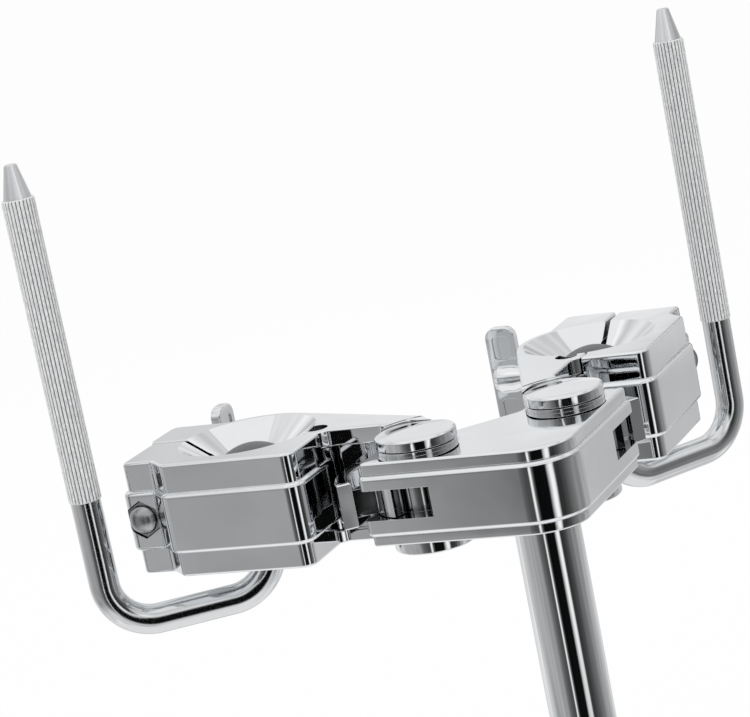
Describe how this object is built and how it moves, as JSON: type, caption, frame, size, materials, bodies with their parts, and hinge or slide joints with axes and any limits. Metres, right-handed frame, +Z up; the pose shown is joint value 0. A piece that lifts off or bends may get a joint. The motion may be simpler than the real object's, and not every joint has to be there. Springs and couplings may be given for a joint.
{
  "type": "double drum holder",
  "caption": "Chrome holder for a pair of small drums: a down tube, a V-shaped centre body, swinging arms with ball clamps closed by wing screws, and bent knurled rods.",
  "frame": {"origin": "centre of the flat foot of the down tube's end plug", "axes": "+Z up along the down tube, -Y towards the nose of the centre body (front), +X to the right seen from the front"},
  "size_m": [0.304, 0.1912, 0.4198],
  "materials": {
    "chrome_plate": "polished chrome plate",
    "rod_chrome": "chrome plate over a straight knurl",
    "plain_steel": "plain steel",
    "ball_nylon": "dark grey moulded nylon, satin",
    "black_nylon": "black moulded nylon"
  },
  "bodies": {
    "holder": {"down_tube": "chrome_plate", "tube_end_plug": "black_nylon", "center_body": "chrome_plate", "body_set_screw_upper": "plain_steel", "body_set_screw_lower": "plain_steel", "pivot_pin_left": "plain_steel", "pivot_pin_right": "plain_steel", "pivot_washer_left": "black_nylon", "pivot_washer_right": "black_nylon"},
    "arm_body_left": {"arm_left": "chrome_plate", "hinge_pin_left": "plain_steel", "wing_washer_left": "plain_steel"},
    "jaw_body_left": {"front_jaw_left": "chrome_plate", "jaw_nut_left": "chrome_plate"},
    "wing_body_left": {"wing_screw_left": "chrome_plate"},
    "ball_body_left": {"ball_left": "ball_nylon"},
    "rod_body_left": {"l_rod_left": "rod_chrome"},
    "arm_body_right": {"arm_right": "chrome_plate", "hinge_pin_right": "plain_steel", "wing_washer_right": "plain_steel"},
    "jaw_body_right": {"front_jaw_right": "chrome_plate", "jaw_nut_right": "chrome_plate"},
    "wing_body_right": {"wing_screw_right": "chrome_plate"},
    "ball_body_right": {"ball_right": "ball_nylon"},
    "rod_body_right": {"l_rod_right": "rod_chrome"}
  },
  "joints": [
    {"name": "arm_swing_left", "type": "hinge", "parent": "holder", "child": "arm_body_left", "pos_m": [-0.0323, 0.0341, 0.2937], "axis": [0, 0, 1], "range_deg": [-15, 40]},
    {"name": "wing_turn_left", "type": "hinge", "parent": "arm_body_left", "child": "wing_body_left", "pos_m": [-0.10487, 0.12607, 0.2705], "axis": [0.7071, 0.7071, 0], "range_deg": [0, 360]},
    {"name": "jaw_open_left", "type": "hinge", "parent": "arm_body_left", "child": "jaw_body_left", "pos_m": [-0.05629, 0.07749, 0.2705], "axis": [0, 0, 1], "range_deg": [0, 1.1]},
    {"name": "ball_tilt_left", "type": "hinge", "parent": "arm_body_left", "child": "ball_body_left", "pos_m": [-0.078, 0.0992, 0.2705], "axis": [1, 0, 0], "range_deg": [-12, 12]},
    {"name": "rod_swivel_left", "type": "hinge", "parent": "ball_body_left", "child": "rod_body_left", "pos_m": [-0.078, 0.0992, 0.2705], "axis": [0, 0, -1], "range_deg": [-35, 35]},
    {"name": "arm_swing_right", "type": "hinge", "parent": "holder", "child": "arm_body_right", "pos_m": [0.0323, 0.0341, 0.2937], "axis": [0, 0, -1], "range_deg": [-15, 40]},
    {"name": "wing_turn_right", "type": "hinge", "parent": "arm_body_right", "child": "wing_body_right", "pos_m": [0.10487, 0.12607, 0.2705], "axis": [-0.7071, 0.7071, 0], "range_deg": [0, 360]},
    {"name": "jaw_open_right", "type": "hinge", "parent": "arm_body_right", "child": "jaw_body_right", "pos_m": [0.05629, 0.07749, 0.2705], "axis": [0, 0, -1], "range_deg": [0, 1.1]},
    {"name": "ball_tilt_right", "type": "hinge", "parent": "arm_body_right", "child": "ball_body_right", "pos_m": [0.078, 0.0992, 0.2705], "axis": [1, 0, 0], "range_deg": [-12, 12]},
    {"name": "rod_swivel_right", "type": "hinge", "parent": "ball_body_right", "child": "rod_body_right", "pos_m": [0.078, 0.0992, 0.2705], "axis": [0, 0, 1], "range_deg": [-35, 35]}
  ],
  "couplings": [
    {"joint": "jaw_open_left", "follows": "wing_turn_left", "ratio": 0.002896},
    {"joint": "jaw_open_right", "follows": "wing_turn_right", "ratio": 0.002896}
  ]
}
